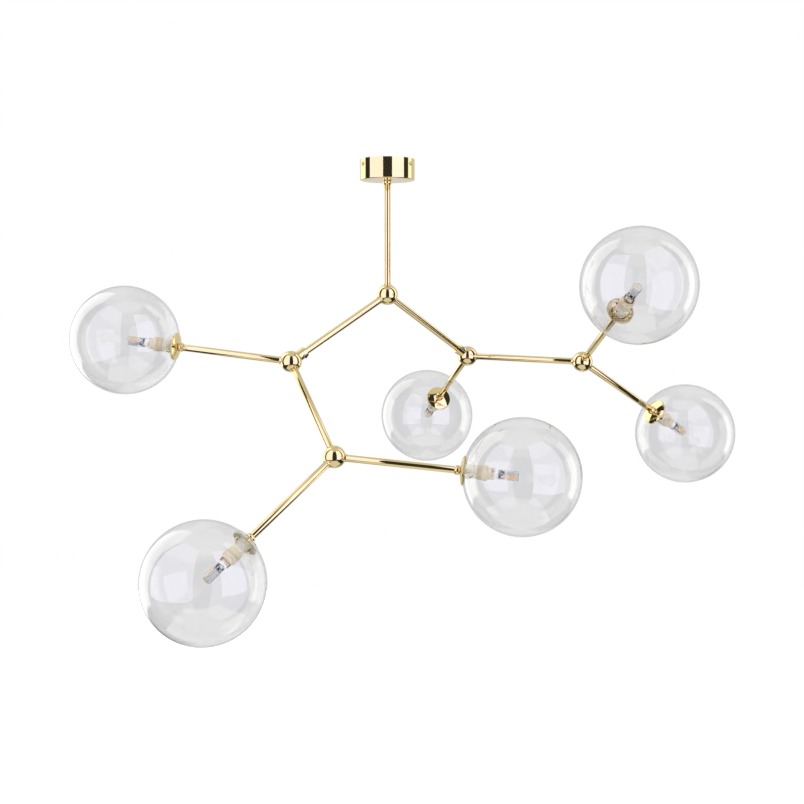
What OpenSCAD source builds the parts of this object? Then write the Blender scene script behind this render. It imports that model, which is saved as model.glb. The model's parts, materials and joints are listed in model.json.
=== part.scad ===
// Six-globe branching chandelier. A stem hangs from a ceiling cap and ends in a ball hub.
// Two straight tubes fork from it to a left and a right ball hub, each of which swivels on its
// tube. Every further hub forks in two again, until six tubes carry a clear glass globe each.
// Millimetres. +Z is up, the ceiling is the plane z = 0, and the stem hangs on the Z axis.

/* [Ceiling cap] */
// Outside diameter of the cap
cap_d = 100; // [92:1:130]
// Height of the cap, from the ceiling to its underside
cap_h = 38; // [34:1:60]
// Sheet thickness of the cap
cap_wall = 1.2; // [0.8:0.1:1.6]
// Radius of the cap's bottom edge
cap_edge_r = 2.4; // [2:0.2:4]
// Direction of the first of the three side screws, seen from above, in degrees
cap_screw_azimuth = -151; // [-180:1:180]
// Distance between the two ceiling screws
ceiling_screw_spacing = 60; // [56:1:64]

/* [Frame] */
// Underside of the cap to the centre of the first hub
drop = 208; // [120:1:900]
// Centre to centre distance of neighbouring hubs
link_len = 231; // [160:1:320]
// Hub centre to globe centre
arm_len = 312; // [260:1:420]
// Diameter of the hub balls
hub_d = 38; // [34:1:46]
// Outside diameter of the tubes
tube_d = 12; // [11.5:0.5:13]
// Wire bore of the tubes
wire_d = 6.5; // [5:0.5:7]

/* [Branch angles] */
// Heading of the plane that the first fork lies in
plane_yaw = 35.5; // [0:0.5:90]
// Lean of that plane out of the vertical
plane_lean = -7; // [-10:0.5:10]
// Angle between the stem and the left link
stem_left_angle = 121.5; // [110:0.5:130]
// Angle between the stem and the right link
stem_right_angle = 120.5; // [110:0.5:130]
// Swivel setting of the left hub, turned about its link
left_turn = 53.5; // [0:0.1:90]
// Swivel setting of the right hub, turned about its link
right_turn = 77.9; // [60:0.1:90]
// Turn of globe arm 4 behind the right fork's plane
right_arm_lag = 1; // [0:0.1:3]
// Turn of the low left fork about its link
low_left_turn = 110.9; // [90:0.1:130]
// Turn of the low right fork about its link
low_right_turn = 58.5; // [40:0.1:80]
// Angles at the left hub, from its link to globe arm 1 and to the next link
left_hub_angles = [125, 111.5];
// Angles at the low left hub, from its link to globe arms 2 and 3
low_left_hub_angles = [120.5, 119.5];
// Angles at the right hub, from its link to the next link and to globe arm 4
right_hub_angles = [113.5, 122.5];
// Angles at the low right hub, from its link to globe arms 5 and 6
low_right_hub_angles = [120.5, 118.5];

/* [Swivels] */
// Outside diameter of the swivel collars
collar_d = 19; // [18:0.5:22]
// Distance from the hub centre to the collar's open end
collar_reach = 32.7; // [30:0.1:36]
// Clamp screw direction on the left collar, turned about the link
left_screw_turn = 249; // [0:1:360]
// Clamp screw direction on the right collar, turned about the link
right_screw_turn = 74; // [0:1:360]

/* [Globe fittings] */
// Outside diameter of the glass globes
globe_d = 196; // [190:1:220]
// Wall thickness of the glass
glass_wall = 2; // [1.5:0.1:3]
// Diameter of the hole in the glass
glass_hole_d = 34; // [33.6:0.1:35]
// Diameter of the cup that covers the hole
cup_d = 50; // [48:0.5:56]
// Sheet thickness of the cup
cup_wall = 1.3; // [1:0.1:1.6]
// Diameter of the rounded neck nuts and of the stem collar
neck_nut_d = 16.5; // [15:0.5:18]
// Diameter of the lampholder sleeve that passes through the glass
sleeve_d = 22.5; // [21:0.1:22.6]
// Diameter of the ring nut on the lampholder
ring_nut_d = 26; // [25:0.5:30]
// Diameter of the lamp's clear capsule
capsule_d = 16.5; // [15:0.5:17]

/* [Hidden] */
$fn = 72;
UP = [0, 0, 1];
ORIGIN = [0, 0, 0];
eps = 0.5;                       // overrun of a cut past a face
fit = 0.05;                      // radial clearance of a thread or running fit
face_gap = 0.3;                  // gap between faces that turn past each other

// Threaded ends and hub sockets
thread_d = 10;                   // plain stand-in for the M10 x 1 lamp thread
hub_r = hub_d / 2;
chamber_d = 22;                  // wire chamber inside each ball
lip_d = 14;                      // raised ring where a tube enters a ball
lip_reach = hub_r + 1;           // hub centre to the face the tube butts on
thread_root = chamber_d / 2 + 0.5;   // hub centre to the inner end of a thread

// Ceiling cap and what it holds
cap_r = cap_d / 2;
plate_t = 1.5;                   // bracket sheet
plate_r = cap_r - 6;
plate_hole_d = 20;               // supply cable hole
ceiling_hole_d = 5;
tab_w = 12;
tab_h = 17;
tab_out = cap_r - cap_wall - 1;  // outer face of a bracket tab
side_screw_z = -10;
side_screw_d = 4;
side_head_d = 7.5;
side_head_h = 2.2;
stem_nut_h = 5;
stem_nut_af = 14;                // across flats
collar_bead_h = 7.5;             // stem collar under the cap
collar_bead_mid = 4.6;           // height of its widest ring
block_size = [30, 14, 13];       // terminal block
block_at = [0, -22, -plate_t - block_size[2] / 2];
earth_at = [0, 24, 0];

// Globe fitting, measured from the globe centre back towards the hub
globe_r = globe_d / 2;
cup_r = cup_d / 2;
rim_r = 1.5;                     // bead round the rim of the cup
rim_z = sqrt(globe_r * globe_r - pow(cup_r - rim_r, 2)) + rim_r + 0.1;
dome_rise = 4.4;                 // cup apex above the top of its rim bead
dome_top = rim_z + rim_r - 0.1 + dome_rise;
dome_r = (pow(cup_r - 1, 2) + dome_rise * dome_rise) / (2 * dome_rise);
neck_nut_h = 8.3;
neck_nut_z = dome_top;
arm_face_z = neck_nut_z + neck_nut_h;
sleeve_top = dome_top - cup_wall - 1.1;
sleeve_seat = sleeve_top - 12;   // end of the arm's thread inside the sleeve
sleeve_end = 74;
holder_end = 44;                 // open end of the lampholder
ring_nut_z = 57;
ring_nut_h = 8;
skirt_d = 24.3;                  // threaded skirt of the lampholder
holder_thread_d = 22;
holder_mouth_d = 18.5;
capsule_tip = 6;
base_size = [14, 8.5];           // lamp base and the block it plugs into
pin_gap = 9;                     // centre distance of the two lamp pins
clip_inner = sleeve_d / 2 + 0.1;
clip_t = 0.8;
clip_bow = 8;                    // radius of a bowed spring leg
clip_z = rim_z - 7.8;            // centre of that bow, which presses on the glass
clip_centre = 10.4;
clip_root = clip_inner + 0.6;    // where a leg leaves the washer
clip_leg_w = 4.4;

// Swivel spigot and clamp screw
stub_d = 13;                     // collar thread inside the ball
spigot_end = 12.5;               // hub centre to the inner end of the spigot
spigot_face = collar_reach + face_gap;
groove_w = 3.4;
groove_r = 4.4;
screw_at = 25;                   // hub centre to the clamp screw
clamp_d = 4;
clamp_dog_d = 2.8;
clamp_head_d = 7;
clamp_head_h = 3.4;

BRASS = [0.86, 0.72, 0.42];
STEEL = [0.72, 0.73, 0.75];
CREAM = [0.88, 0.80, 0.66];
WHITE = [0.93, 0.92, 0.89];
NYLON = [0.90, 0.90, 0.86];
GLASS = [0.85, 0.90, 0.92, 0.30];
CAPSULE = [0.93, 0.93, 0.95, 0.60];

// Directions and places of the hubs and globes
function unit(v) = v / norm(v);
function turned(v, k, a) = v * cos(a) + cross(k, v) * sin(a) + k * (k * v) * (1 - cos(a));
function side(u, a) = let(n = unit(cross(u, UP))) turned(cross(n, u), u, a);
function fork_near(u, turn, a) = side(u, turn) * sin(a) - u * cos(a);
function fork_far(u, turn, a) = -side(u, turn) * sin(a) - u * cos(a);

heading = [cos(plane_yaw), sin(plane_yaw), 0];
plane_normal = [-sin(plane_yaw), cos(plane_yaw), 0];
plane_up = UP * cos(plane_lean) + plane_normal * sin(plane_lean);

left_dir = plane_up * cos(stem_left_angle) - heading * sin(stem_left_angle);
right_dir = plane_up * cos(stem_right_angle) + heading * sin(stem_right_angle);
low_left_dir = fork_far(left_dir, left_turn, left_hub_angles[1]);
low_right_dir = fork_near(right_dir, right_turn, right_hub_angles[0]);

centre_hub_at = [0, 0, -cap_h - drop];
left_hub_at = centre_hub_at + link_len * left_dir;
right_hub_at = centre_hub_at + link_len * right_dir;
low_left_hub_at = left_hub_at + link_len * low_left_dir;
low_right_hub_at = right_hub_at + link_len * low_right_dir;

// Globe arms 1 to 6: 1 far left, 2 low left, 3 low centre, 4 back, 5 front right, 6 far right
arm_hub = [left_hub_at, low_left_hub_at, low_left_hub_at,
           right_hub_at, low_right_hub_at, low_right_hub_at];
arm_dir = [
    fork_near(left_dir, left_turn, left_hub_angles[0]),
    fork_near(low_left_dir, low_left_turn, low_left_hub_angles[0]),
    fork_far(low_left_dir, low_left_turn, low_left_hub_angles[1]),
    fork_far(right_dir, right_turn - right_arm_lag, right_hub_angles[1]),
    fork_near(low_right_dir, low_right_turn, low_right_hub_angles[0]),
    fork_far(low_right_dir, low_right_turn, low_right_hub_angles[1])
];
LEFT_ARMS = [1, 2, 3];
RIGHT_ARMS = [4, 5, 6];

// Children's +Z along direction d from point p
module along(p, d) {
    translate(p) rotate([0, acos(d[2]), atan2(d[1], d[0])]) children();
}

// Frame of globe i: origin at the globe centre, +Z back towards its hub
module at_globe(i) {
    along(arm_hub[i - 1] + arm_len * arm_dir[i - 1], -arm_dir[i - 1]) children();
}

// Frame of a collar's clamp screw: origin on the link's axis, +Z out along the screw
module at_clamp(hub, u, turn) {
    along(hub - screw_at * u, side(u, turn)) children();
}

module tube_bore(z0, z1) {
    translate([0, 0, z0 - eps]) cylinder(d = wire_d, h = z1 - z0 + 2 * eps);
}

// Tube on +Z from z0 to z1, with threaded ends that reach e0 and e1 further
module tube(z0, z1, e0, e1) {
    difference() {
        union() {
            translate([0, 0, z0]) cylinder(d = tube_d, h = z1 - z0);
            translate([0, 0, z0 - e0]) cylinder(d = thread_d, h = z1 - z0 + e0 + e1);
        }
        tube_bore(z0 - e0, z1 + e1);
    }
}

// Barrel-shaped nut on +Z from 0 to h, widest at height mid
module bead_nut(h, mid) {
    arc_r = 6;
    difference() {
        rotate_extrude() intersection() {
            union() {
                square([neck_nut_d / 2 - arc_r, h]);
                translate([neck_nut_d / 2 - arc_r, mid]) circle(r = arc_r);
            }
            square([neck_nut_d / 2, h]);
        }
        translate([0, 0, -eps]) cylinder(r = thread_d / 2 + fit, h = h + 2 * eps);
    }
}

// Hollow ball with a raised ring and a threaded socket in each direction, and a wider socket
// for a swivel collar where collar_dir is given
module ball_hub(dirs, collar_dir = undef) {
    pole = is_undef(collar_dir) ? dirs[0] : collar_dir;
    difference() {
        union() {
            along(ORIGIN, pole) sphere(d = hub_d);
            for (d = dirs) along(ORIGIN, d) cylinder(d = lip_d, h = lip_reach);
        }
        along(ORIGIN, pole) sphere(d = chamber_d);
        for (d = dirs) along(ORIGIN, d) cylinder(r = thread_d / 2 + fit, h = lip_reach + eps);
        if (!is_undef(collar_dir))
            along(ORIGIN, collar_dir) cylinder(r = stub_d / 2 + fit, h = hub_r + eps);
    }
}

module ceiling_bracket() {
    color(STEEL) difference() {
        union() {
            translate([0, 0, -plate_t]) cylinder(r = plate_r, h = plate_t);
            for (k = [0:2]) rotate(cap_screw_azimuth + 120 * k) {
                translate([plate_r - 3, -tab_w / 2, -plate_t])
                    cube([tab_out - plate_r + 3, tab_w, plate_t]);
                translate([tab_out - plate_t, -tab_w / 2, -tab_h]) cube([plate_t, tab_w, tab_h]);
            }
        }
        translate([0, 0, -plate_t - eps]) cylinder(d = plate_hole_d, h = plate_t + 2 * eps);
        for (s = [-1, 1]) translate([s * ceiling_screw_spacing / 2, 0, -plate_t - eps])
            cylinder(d = ceiling_hole_d, h = plate_t + 2 * eps);
        translate(earth_at - [0, 0, plate_t + eps])
            cylinder(r = side_screw_d / 2 + fit, h = plate_t + 2 * eps);
        for (k = [0:2]) rotate(cap_screw_azimuth + 120 * k)
            translate([tab_out - plate_t - eps, 0, side_screw_z]) rotate([0, 90, 0])
                cylinder(r = side_screw_d / 2 + fit, h = plate_t + 2 * eps);
    }
}

// Outline of the cap's shell, grown inwards by t
module cap_outline(t) {
    difference() {
        union() {
            translate([0, -cap_h + cap_edge_r]) square([cap_r - t, cap_h - cap_edge_r]);
            translate([0, -cap_h + t]) square([cap_r - cap_edge_r, cap_edge_r]);
            translate([cap_r - cap_edge_r, -cap_h + cap_edge_r]) circle(r = cap_edge_r - t);
        }
        translate([-cap_r, -cap_h]) square([cap_r, cap_h]);
    }
}

module ceiling_cap() {
    color(BRASS) difference() {
        rotate_extrude() cap_outline(0);
        rotate_extrude() union() {
            cap_outline(cap_wall);
            translate([0, -eps]) square([cap_r - cap_wall, 2 * eps]);
        }
        translate([0, 0, -cap_h - eps]) cylinder(d = thread_d + 0.4, h = cap_wall + 2 * eps);
        for (k = [0:2]) rotate(cap_screw_azimuth + 120 * k)
            translate([cap_r - cap_wall - eps, 0, side_screw_z]) rotate([0, 90, 0])
                cylinder(d = side_screw_d + 0.4, h = cap_wall + 2 * eps);
    }
}

// Round-headed screw: shank on +Z up to 0, head above
module round_screw(shank_d, shank, head_d, head) {
    translate([0, 0, -shank]) cylinder(d = shank_d, h = shank);
    difference() {
        intersection() {
            cylinder(d = head_d, h = head);
            translate([0, 0, head - head_d * 0.65]) sphere(r = head_d * 0.65);
        }
        translate([-head_d / 2, -0.4, head * 0.55]) cube([head_d, 0.8, head]);
    }
}

module cap_screws() {
    color(BRASS) for (k = [0:2]) rotate(cap_screw_azimuth + 120 * k)
        translate([cap_r + 0.05, 0, side_screw_z]) rotate([0, 90, 0])
            round_screw(side_screw_d, cap_r - tab_out + plate_t + 2, side_head_d, side_head_h);
}

// Three-way block with a wire tunnel and a screw well for each way
module terminal_block() {
    ways = 3;
    pitch = block_size[0] / ways;
    color(NYLON) translate(block_at) difference() {
        cube(block_size, center = true);
        for (k = [0:ways - 1]) translate([(k - 1) * pitch, 0, 0]) {
            rotate([90, 0, 0]) cylinder(d = 5, h = block_size[1] + 1, center = true);
            translate([0, 0, -block_size[2] / 2 - eps]) cylinder(d = 4.4, h = 5);
        }
        for (k = [0:ways - 2]) translate([(k - 0.5) * pitch, 0, block_size[2] / 2])
            cube([1.2, block_size[1] + 1, 5], center = true);
    }
}

module earth_screw() {
    color(STEEL) translate(earth_at - [0, 0, plate_t + 0.05]) mirror([0, 0, 1])
        round_screw(side_screw_d, plate_t, side_head_d, side_head_h);
}

module stem_tube() {
    stem_top = drop - collar_bead_h;
    color(BRASS) translate(centre_hub_at)
        tube(lip_reach, stem_top, lip_reach - thread_root,
             collar_bead_h + cap_wall + stem_nut_h + 3);
}

module stem_collar() {
    color(BRASS) translate([0, 0, -cap_h - collar_bead_h])
        bead_nut(collar_bead_h, collar_bead_mid);
}

module stem_nut() {
    color(STEEL) translate([0, 0, -cap_h + cap_wall]) difference() {
        cylinder(d = stem_nut_af / cos(30), h = stem_nut_h, $fn = 6);
        translate([0, 0, -eps]) cylinder(r = thread_d / 2 + fit, h = stem_nut_h + 2 * eps);
    }
}

module centre_hub() {
    color(BRASS) translate(centre_hub_at) ball_hub([UP, left_dir, right_dir]);
}

module left_hub() {
    color(BRASS) translate(left_hub_at) ball_hub([low_left_dir, arm_dir[0]], -left_dir);
}

module right_hub() {
    color(BRASS) translate(right_hub_at) ball_hub([low_right_dir, arm_dir[3]], -right_dir);
}

module left_low_hub() {
    color(BRASS) translate(low_left_hub_at) ball_hub([-low_left_dir, arm_dir[1], arm_dir[2]]);
}

module right_low_hub() {
    color(BRASS) translate(low_right_hub_at) ball_hub([-low_right_dir, arm_dir[4], arm_dir[5]]);
}

// Tube from the centre hub to a swivel, whose grooved spigot turns in the collar
module link_tube(u) {
    tube_end = link_len - spigot_face;
    color(BRASS) along(centre_hub_at, u) difference() {
        tube(lip_reach, tube_end, lip_reach - thread_root, spigot_face - spigot_end);
        translate([0, 0, link_len - screw_at - groove_w / 2]) difference() {
            cylinder(r = thread_d / 2 + eps, h = groove_w);
            translate([0, 0, -eps]) cylinder(r = groove_r, h = groove_w + 2 * eps);
        }
    }
}

module swivel_collar(hub, u, turn) {
    color(BRASS) difference() {
        along(hub, -u) difference() {
            union() {
                difference() {
                    translate([0, 0, hub_r - 4]) cylinder(d = collar_d, h = collar_reach - hub_r + 4);
                    sphere(r = hub_r + 0.02);
                }
                translate([0, 0, thread_root]) cylinder(d = stub_d, h = hub_r - thread_root + 2);
            }
            cylinder(r = thread_d / 2 + fit, h = collar_reach + eps);
        }
        at_clamp(hub, u, turn) cylinder(r = clamp_d / 2 + fit, h = collar_d);
    }
}

module clamp_screw(hub, u, turn) {
    head_z = collar_d / 2 + face_gap;
    color(STEEL) at_clamp(hub, u, turn) difference() {
        union() {
            translate([0, 0, groove_r + 0.1]) cylinder(d = clamp_dog_d, h = 2);
            translate([0, 0, thread_d / 2 + 0.3]) cylinder(d = clamp_d, h = head_z - thread_d / 2);
            translate([0, 0, head_z]) cylinder(d = clamp_head_d, h = clamp_head_h - 0.6);
            translate([0, 0, head_z + clamp_head_h - 0.6])
                cylinder(d1 = clamp_head_d, d2 = clamp_head_d - 1.2, h = 0.6);
        }
        translate([-clamp_head_d, -0.4, head_z + clamp_head_h - 1.4])
            cube([2 * clamp_head_d, 0.8, 2]);
    }
}

module low_tube(hub, u) {
    color(BRASS) along(hub, u)
        tube(lip_reach, link_len - lip_reach, lip_reach - thread_root, lip_reach - thread_root);
}

module arm_tube(i) {
    color(BRASS) along(arm_hub[i - 1], arm_dir[i - 1])
        tube(lip_reach, arm_len - arm_face_z, lip_reach - thread_root, arm_face_z - sleeve_seat);
}

module neck_nuts(arms) {
    color(BRASS) for (i = arms) at_globe(i) translate([0, 0, neck_nut_z])
        bead_nut(neck_nut_h, neck_nut_h / 2);
}

// Shallow domed cup with a beaded rim that rests on the glass
module cup(i) {
    color(BRASS) at_globe(i) difference() {
        union() {
            intersection() {
                translate([0, 0, dome_top - dome_r]) difference() {
                    sphere(r = dome_r, $fn = 96);
                    sphere(r = dome_r - cup_wall, $fn = 96);
                }
                translate([0, 0, rim_z - 1]) cylinder(r = cup_r - 1, h = 12);
            }
            translate([0, 0, rim_z]) rotate_extrude()
                translate([cup_r - rim_r, 0]) circle(r = rim_r);
        }
        translate([0, 0, rim_z]) cylinder(r = thread_d / 2 + 0.2, h = 20);
    }
}

module globe(i) {
    color(GLASS) at_globe(i) difference() {
        sphere(r = globe_r, $fn = 128);
        sphere(r = globe_r - glass_wall, $fn = 128);
        cylinder(d = glass_hole_d, h = globe_r + eps);
    }
}

// Spring washers with three bowed legs that hold the glass from inside
module globe_clips(arms) {
    color(BRASS) for (i = arms) at_globe(i) {
        for (k = [0:2]) rotate(120 * k) translate([0, clip_leg_w / 2, 0]) rotate([90, 0, 0])
            linear_extrude(clip_leg_w) difference() {
                translate([clip_centre, clip_z]) circle(r = clip_bow + clip_t / 2);
                translate([clip_centre, clip_z]) circle(r = clip_bow - clip_t / 2);
                translate([-clip_bow, clip_z - 2 * clip_bow])
                    square([clip_bow + clip_root, 4 * clip_bow]);
            }
        translate([0, 0, clip_z + clip_bow - clip_t]) difference() {
            cylinder(r = clip_inner + 1.8, h = 1.5 * clip_t);
            translate([0, 0, -eps]) cylinder(r = clip_inner, h = 2 * clip_t + 2 * eps);
        }
    }
}

// Sleeves that screw on the arms' ends, inside the cups
module holder_sleeves(arms) {
    color(WHITE) for (i = arms) at_globe(i) difference() {
        translate([0, 0, sleeve_end]) cylinder(d = sleeve_d, h = sleeve_top - sleeve_end);
        translate([0, 0, sleeve_end - eps]) cylinder(r = thread_d / 2 + fit, h = 30);
        translate([0, 0, sleeve_end - eps]) cylinder(d = 17, h = sleeve_seat - sleeve_end);
    }
}

// Two-pin lampholder: threaded skirt, tapered shell, and the contact block in its mouth
module lampholder(i) {
    block_h = ring_nut_z - holder_end + 5;
    color(CREAM) at_globe(i) {
        difference() {
            union() {
                translate([0, 0, ring_nut_z + ring_nut_h])
                    cylinder(d = skirt_d, h = sleeve_end - ring_nut_z - ring_nut_h);
                translate([0, 0, ring_nut_z - 1]) cylinder(d = holder_thread_d, h = ring_nut_h + 1);
                translate([0, 0, holder_end])
                    cylinder(d1 = holder_mouth_d, d2 = 21.5, h = ring_nut_z - holder_end);
            }
            translate([0, 0, holder_end - eps]) cylinder(d = holder_mouth_d - 3, h = 6 + eps);
            translate([0, 0, ring_nut_z + 5]) cylinder(d = 17, h = sleeve_end);
            for (s = [-1, 1]) translate([s * pin_gap / 2, 0, holder_end]) cylinder(d = 2, h = 30);
        }
        difference() {
            translate([-base_size[0] / 2, -base_size[1] / 2, holder_end + 2.5])
                cube([base_size[0], base_size[1], block_h - 2.5]);
            for (s = [-1, 1]) translate([s * pin_gap / 2, 0, holder_end]) cylinder(d = 2, h = 30);
        }
    }
}

module ring_nuts(arms) {
    chamfer = 1.2;
    color(CREAM) for (i = arms) at_globe(i) translate([0, 0, ring_nut_z]) difference() {
        union() {
            translate([0, 0, chamfer]) cylinder(d = ring_nut_d, h = ring_nut_h - chamfer);
            cylinder(d1 = ring_nut_d - 2 * chamfer, d2 = ring_nut_d, h = chamfer);
        }
        translate([0, 0, -eps])
            cylinder(r = holder_thread_d / 2 + fit, h = ring_nut_h + 2 * eps);
    }
}

// Two-pin lamp: base block, two pins and a clear capsule with a rounded tip
module lamp(i) {
    tip_r = 3;
    color(CAPSULE) at_globe(i) {
        rotate_extrude() union() {
            translate([0, capsule_tip + tip_r])
                square([capsule_d / 2, holder_end - capsule_tip - tip_r - 0.3]);
            translate([0, capsule_tip]) square([capsule_d / 2 - tip_r, tip_r + 1]);
            translate([capsule_d / 2 - tip_r, capsule_tip + tip_r]) circle(r = tip_r);
        }
        translate([-base_size[0] / 2 + 1, -base_size[1] / 2 + 0.6, holder_end - 1])
            cube([base_size[0] - 2, base_size[1] - 1.2, 3.3]);
        for (s = [-1, 1]) translate([s * pin_gap / 2, 0, holder_end - 1]) cylinder(d = 1.6, h = 15);
    }
}

ceiling_bracket();
ceiling_cap();
cap_screws();
terminal_block();
earth_screw();
stem_tube();
stem_collar();
stem_nut();
centre_hub();
link_tube(left_dir);  // left_link_tube
link_tube(right_dir);  // right_link_tube
left_hub();
swivel_collar(left_hub_at, left_dir, left_screw_turn);  // left_swivel_collar
clamp_screw(left_hub_at, left_dir, left_screw_turn);  // left_clamp_screw
low_tube(left_hub_at, low_left_dir);  // left_low_tube
left_low_hub();
neck_nuts(LEFT_ARMS);  // left_neck_nuts
ring_nuts(LEFT_ARMS);  // left_ring_nuts
holder_sleeves(LEFT_ARMS);  // left_holder_sleeves
globe_clips(LEFT_ARMS);  // left_globe_clips
right_hub();
swivel_collar(right_hub_at, right_dir, right_screw_turn);  // right_swivel_collar
clamp_screw(right_hub_at, right_dir, right_screw_turn);  // right_clamp_screw
low_tube(right_hub_at, low_right_dir);  // right_low_tube
right_low_hub();
neck_nuts(RIGHT_ARMS);  // right_neck_nuts
ring_nuts(RIGHT_ARMS);  // right_ring_nuts
holder_sleeves(RIGHT_ARMS);  // right_holder_sleeves
globe_clips(RIGHT_ARMS);  // right_globe_clips
for (i = [1:6]) {
    arm_tube(i);
    cup(i);
    globe(i);
    lampholder(i);
    lamp(i);
}
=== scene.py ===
"""Looks of a six-globe branching chandelier: polished brass frame, clear glass globes, cream
ceramic lampholders and clear two-pin lamps.

Places are in metres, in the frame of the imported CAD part: the ceiling is z = 0 and the stem
hangs on the Z axis. Shapes are in millimetres, each in its own part's frame. A globe's frame has
its origin at the globe's centre and +Z back to its hub. A fitting's frame has its origin at the
open end of the lampholder and the same +Z, so a lamp points to -Z."""

import math

import bmesh
import bpy
from mathutils import Matrix, Vector
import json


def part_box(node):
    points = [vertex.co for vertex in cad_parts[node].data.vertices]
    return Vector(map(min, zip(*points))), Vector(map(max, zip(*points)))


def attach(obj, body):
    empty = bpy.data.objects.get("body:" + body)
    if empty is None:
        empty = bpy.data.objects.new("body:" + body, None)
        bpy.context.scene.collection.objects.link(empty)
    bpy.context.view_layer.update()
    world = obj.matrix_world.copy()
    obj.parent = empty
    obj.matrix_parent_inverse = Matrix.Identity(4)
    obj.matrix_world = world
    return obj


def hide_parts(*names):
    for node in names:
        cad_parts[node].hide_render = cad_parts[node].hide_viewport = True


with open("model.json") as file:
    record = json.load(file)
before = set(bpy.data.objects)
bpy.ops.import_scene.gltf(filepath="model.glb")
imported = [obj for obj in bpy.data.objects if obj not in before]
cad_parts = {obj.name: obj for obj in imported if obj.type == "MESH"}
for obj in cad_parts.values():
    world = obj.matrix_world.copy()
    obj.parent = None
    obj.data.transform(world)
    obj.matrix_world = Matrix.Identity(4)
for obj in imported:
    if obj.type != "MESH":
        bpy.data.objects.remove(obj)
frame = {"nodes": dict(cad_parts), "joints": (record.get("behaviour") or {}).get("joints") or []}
bpy.context.view_layer.update()

MM = 0.001
UP = Vector((0, 0, 1))

# Driving dimensions, the same as the CAD part's
HUB_R = 19
GLOBE_R = 98                        # outer radius of the glass
GLASS_WALL = 2
HOLE_R = 17                         # hole in the glass
CUP_RIM = 96.74                     # globe centre to the cup's rim
ARM_FACE = CUP_RIM + 14.1           # globe centre to the face that the arm butts on
HOLDER_END = 44                     # globe centre to the open end of a lampholder
TUBE_R = 6
BORE_R = 3.25                       # wire bore of the tubes
THREAD_R = 5.05                     # 10 mm lamp thread with its clearance
PIN_SPREAD = 4.5                    # lamp axis to a pin's axis
PIN_R = 0.8


# ---------------------------------------------------------------- places

def facing(origin, z_dir):
    """Frame at origin with +Z along z_dir and +X as near to straight up as it can be."""
    z = Vector(z_dir).normalized()
    x = UP - UP.dot(z) * z
    if x.length < 1e-6:
        x = Vector((1, 0, 0))
    x.normalize()
    turn = Matrix((x, z.cross(x), z)).transposed().to_4x4()
    return Matrix.Translation(origin) @ turn


def middle(node):
    low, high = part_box(node)
    return (low + high) / 2


joints = {j["name"]: j for j in frame["joints"]}
CENTRE_HUB = Vector((0, 0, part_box("centre_hub")[0].z + HUB_R * MM))
LEFT_HUB = Vector(joints["left_swivel"]["pos_m"])
RIGHT_HUB = Vector(joints["right_swivel"]["pos_m"])
LOW_LEFT_HUB = 2 * middle("left_low_tube") - LEFT_HUB
LOW_RIGHT_HUB = 2 * middle("right_low_tube") - RIGHT_HUB
GLOBE_HUBS = {1: LEFT_HUB, 2: LOW_LEFT_HUB, 3: LOW_LEFT_HUB,
              4: RIGHT_HUB, 5: LOW_RIGHT_HUB, 6: LOW_RIGHT_HUB}
SIDES = {"left": (1, 2, 3), "right": (4, 5, 6)}
BODY = {i: f"{side}_branch" for side, members in SIDES.items() for i in members}


def globe_centre(i):
    """Centre of globe i. The hole faces the hub, so the far side of its box is whole."""
    low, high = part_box(f"globe_{i}")
    hub = GLOBE_HUBS[i]
    centre = Vector()
    for k in range(3):
        away = (low[k] + high[k]) / 2 > hub[k]
        centre[k] = high[k] - GLOBE_R * MM if away else low[k] + GLOBE_R * MM
    return centre


GLOBES = {i: facing(globe_centre(i), GLOBE_HUBS[i] - globe_centre(i)) for i in GLOBE_HUBS}


def fitting(i, roll=0):
    """Frame of globe i's lampholder, turned by `roll` degrees about its axis."""
    return (GLOBES[i] @ Matrix.Translation((0, 0, HOLDER_END * MM))
            @ Matrix.Rotation(math.radians(roll), 4, "Z"))


def scaled(at):
    """A placement in metres as one for shapes in millimetres."""
    return Matrix.Diagonal((1 / MM, 1 / MM, 1 / MM, 1)) @ at @ Matrix.Diagonal((MM, MM, MM, 1))


# ---------------------------------------------------------------- shapes

def rounded(corners, steps=3):
    """Outline through (r, z, fillet) corners of a closed section, its fillets as arcs."""
    outline = []
    for i, (r, z, fillet) in enumerate(corners):
        corner = Vector((r, z))
        if not fillet:
            outline.append((r, z))
            continue
        to_last = (Vector(corners[i - 1][:2]) - corner).normalized()
        to_next = (Vector(corners[(i + 1) % len(corners)][:2]) - corner).normalized()
        half = to_last.angle(to_next) / 2
        centre = corner + (to_last + to_next).normalized() * fillet / math.sin(half)
        a = corner + to_last * fillet / math.tan(half) - centre
        b = corner + to_next * fillet / math.tan(half) - centre
        sweep = a.angle(b)
        for k in range(steps + 1):
            t = k / steps
            p = centre + (a * math.sin((1 - t) * sweep) + b * math.sin(t * sweep)) / math.sin(sweep)
            outline.append((p.x, p.y))
    return outline


def arc(centre_r, centre_z, radius, start, end, steps):
    """Points (r, z) on an arc, angles in degrees from +r towards +z."""
    angles = [math.radians(start + (end - start) * k / steps) for k in range(steps + 1)]
    return [(centre_r + radius * math.cos(a), centre_z + radius * math.sin(a)) for a in angles]


def column(r, low, high, step):
    """Points up a straight wall, about `step` apart."""
    count = round((high - low) / step)
    return [(r, low + (high - low) * k / count) for k in range(count + 1)]


def wall_down(r, high, low):
    """Three points down a straight wall."""
    return [(r, high), (r, (low + high) / 2), (r, low)]


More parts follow.
